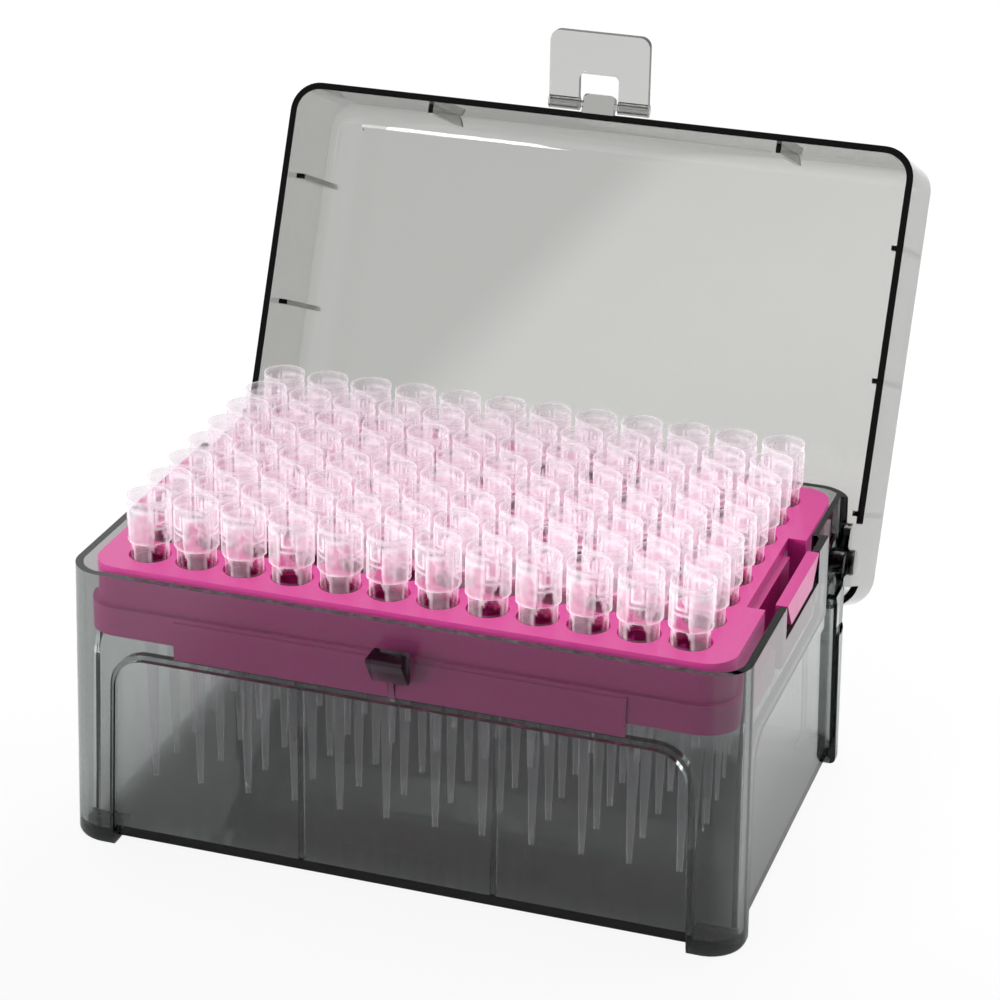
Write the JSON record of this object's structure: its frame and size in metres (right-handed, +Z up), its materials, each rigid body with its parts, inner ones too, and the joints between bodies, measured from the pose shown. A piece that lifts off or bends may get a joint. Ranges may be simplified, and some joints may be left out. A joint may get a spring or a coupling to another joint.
{
  "type": "box of pipette tips",
  "caption": "Smoke-clear laboratory box with an open hinged lid, a clear latch flap and a magenta clip-in tray full of clear pipette tips.",
  "frame": {"origin": "middle of the floor's underside, under the centre of the tip grid; the feet reach 1.5 mm lower", "axes": "+X along the box to the right, +Y from the latch side to the hinge side, +Z up"},
  "size_m": [0.128, 0.1421, 0.1278],
  "materials": {
    "smoke_plastic": "clear smoke-grey moulding",
    "pale_smoke_plastic": "clear pale smoke moulding",
    "clear_plastic": "clear moulding",
    "magenta_plastic": "satin magenta moulding",
    "tip_plastic": "clear to milky moulding"
  },
  "bodies": {
    "base": {"base_box": "smoke_plastic", "tip_tray": "magenta_plastic", "tips_row_a": "tip_plastic", "tips_row_b": "tip_plastic", "tips_row_c": "tip_plastic", "tips_row_d": "tip_plastic", "tips_row_e": "tip_plastic", "tips_row_f": "tip_plastic", "tips_row_g": "tip_plastic", "tips_row_h": "tip_plastic"},
    "lid": {"lid": "pale_smoke_plastic"},
    "latch": {"latch_flap": "clear_plastic"}
  },
  "joints": [
    {"name": "lid_hinge", "type": "hinge", "parent": "base", "child": "lid", "pos_m": [0, 0.0345, 0.0411], "axis": [1, 0, 0], "range_deg": [0, 113.3]},
    {"name": "latch_hinge", "type": "hinge", "parent": "lid", "child": "latch", "pos_m": [0, 0.07311, 0.11179], "axis": [1, 0, 0], "range_deg": [-99, 77]}
  ]
}
